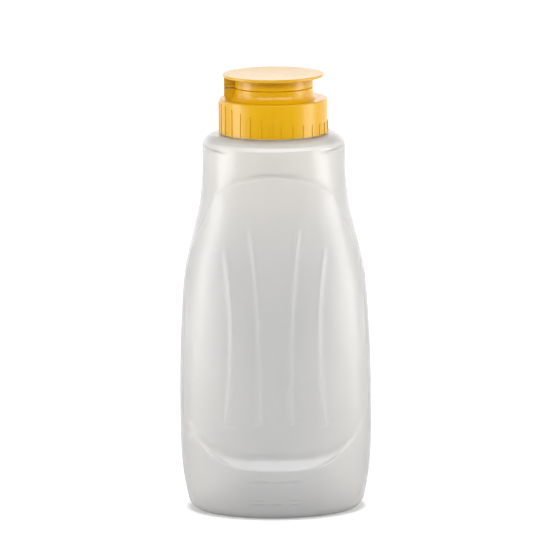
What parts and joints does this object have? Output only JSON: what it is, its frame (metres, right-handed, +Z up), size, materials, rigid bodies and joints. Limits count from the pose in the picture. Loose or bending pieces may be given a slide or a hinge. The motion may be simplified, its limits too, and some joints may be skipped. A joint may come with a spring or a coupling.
{
  "type": "squeeze bottle",
  "caption": "Oval squeeze bottle with recessed grip panels and a screw-on ribbed closure, flat disc flip lid, soft slit valve and gasket.",
  "frame": {"origin": "centre of the base at the height of the surface it stands on", "axes": "+Z up along the neck; +X towards the free edge of the lid, with the hinge at -X; -Y is the front"},
  "size_m": [0.0998, 0.0698, 0.229],
  "materials": {
    "natural_polyethylene": "satin translucent",
    "yellow_polypropylene": "semi-gloss",
    "white_polypropylene": "satin",
    "silicone": "satin",
    "foam_liner": "matte"
  },
  "bodies": {
    "container": {"bottle": "natural_polyethylene"},
    "seal": {"seal_ring": "foam_liner"},
    "closure": {"closure_base": "yellow_polypropylene", "valve_retainer": "white_polypropylene", "slit_valve": "silicone", "living_hinge": "yellow_polypropylene"},
    "lid": {"flip_lid": "yellow_polypropylene"}
  },
  "joints": [
    {"name": "cap_lift", "type": "slide", "parent": "container", "child": "seal", "axis": [0, 0, 1], "range_m": [0, 0.0212]},
    {"name": "cap_turn", "type": "hinge", "parent": "seal", "child": "closure", "pos_m": [0, 0, 0.2144], "axis": [0, 0, 1], "range_deg": [0, 1800]},
    {"name": "lid_flip", "type": "hinge", "parent": "closure", "child": "lid", "pos_m": [-0.0252, 0, 0.2224], "axis": [0, -1, 0], "range_deg": [0, 140], "deforming": ["living_hinge"]}
  ],
  "couplings": [
    {"joint": "cap_lift", "follows": "cap_turn", "m_per_rad": 0.0006737}
  ]
}
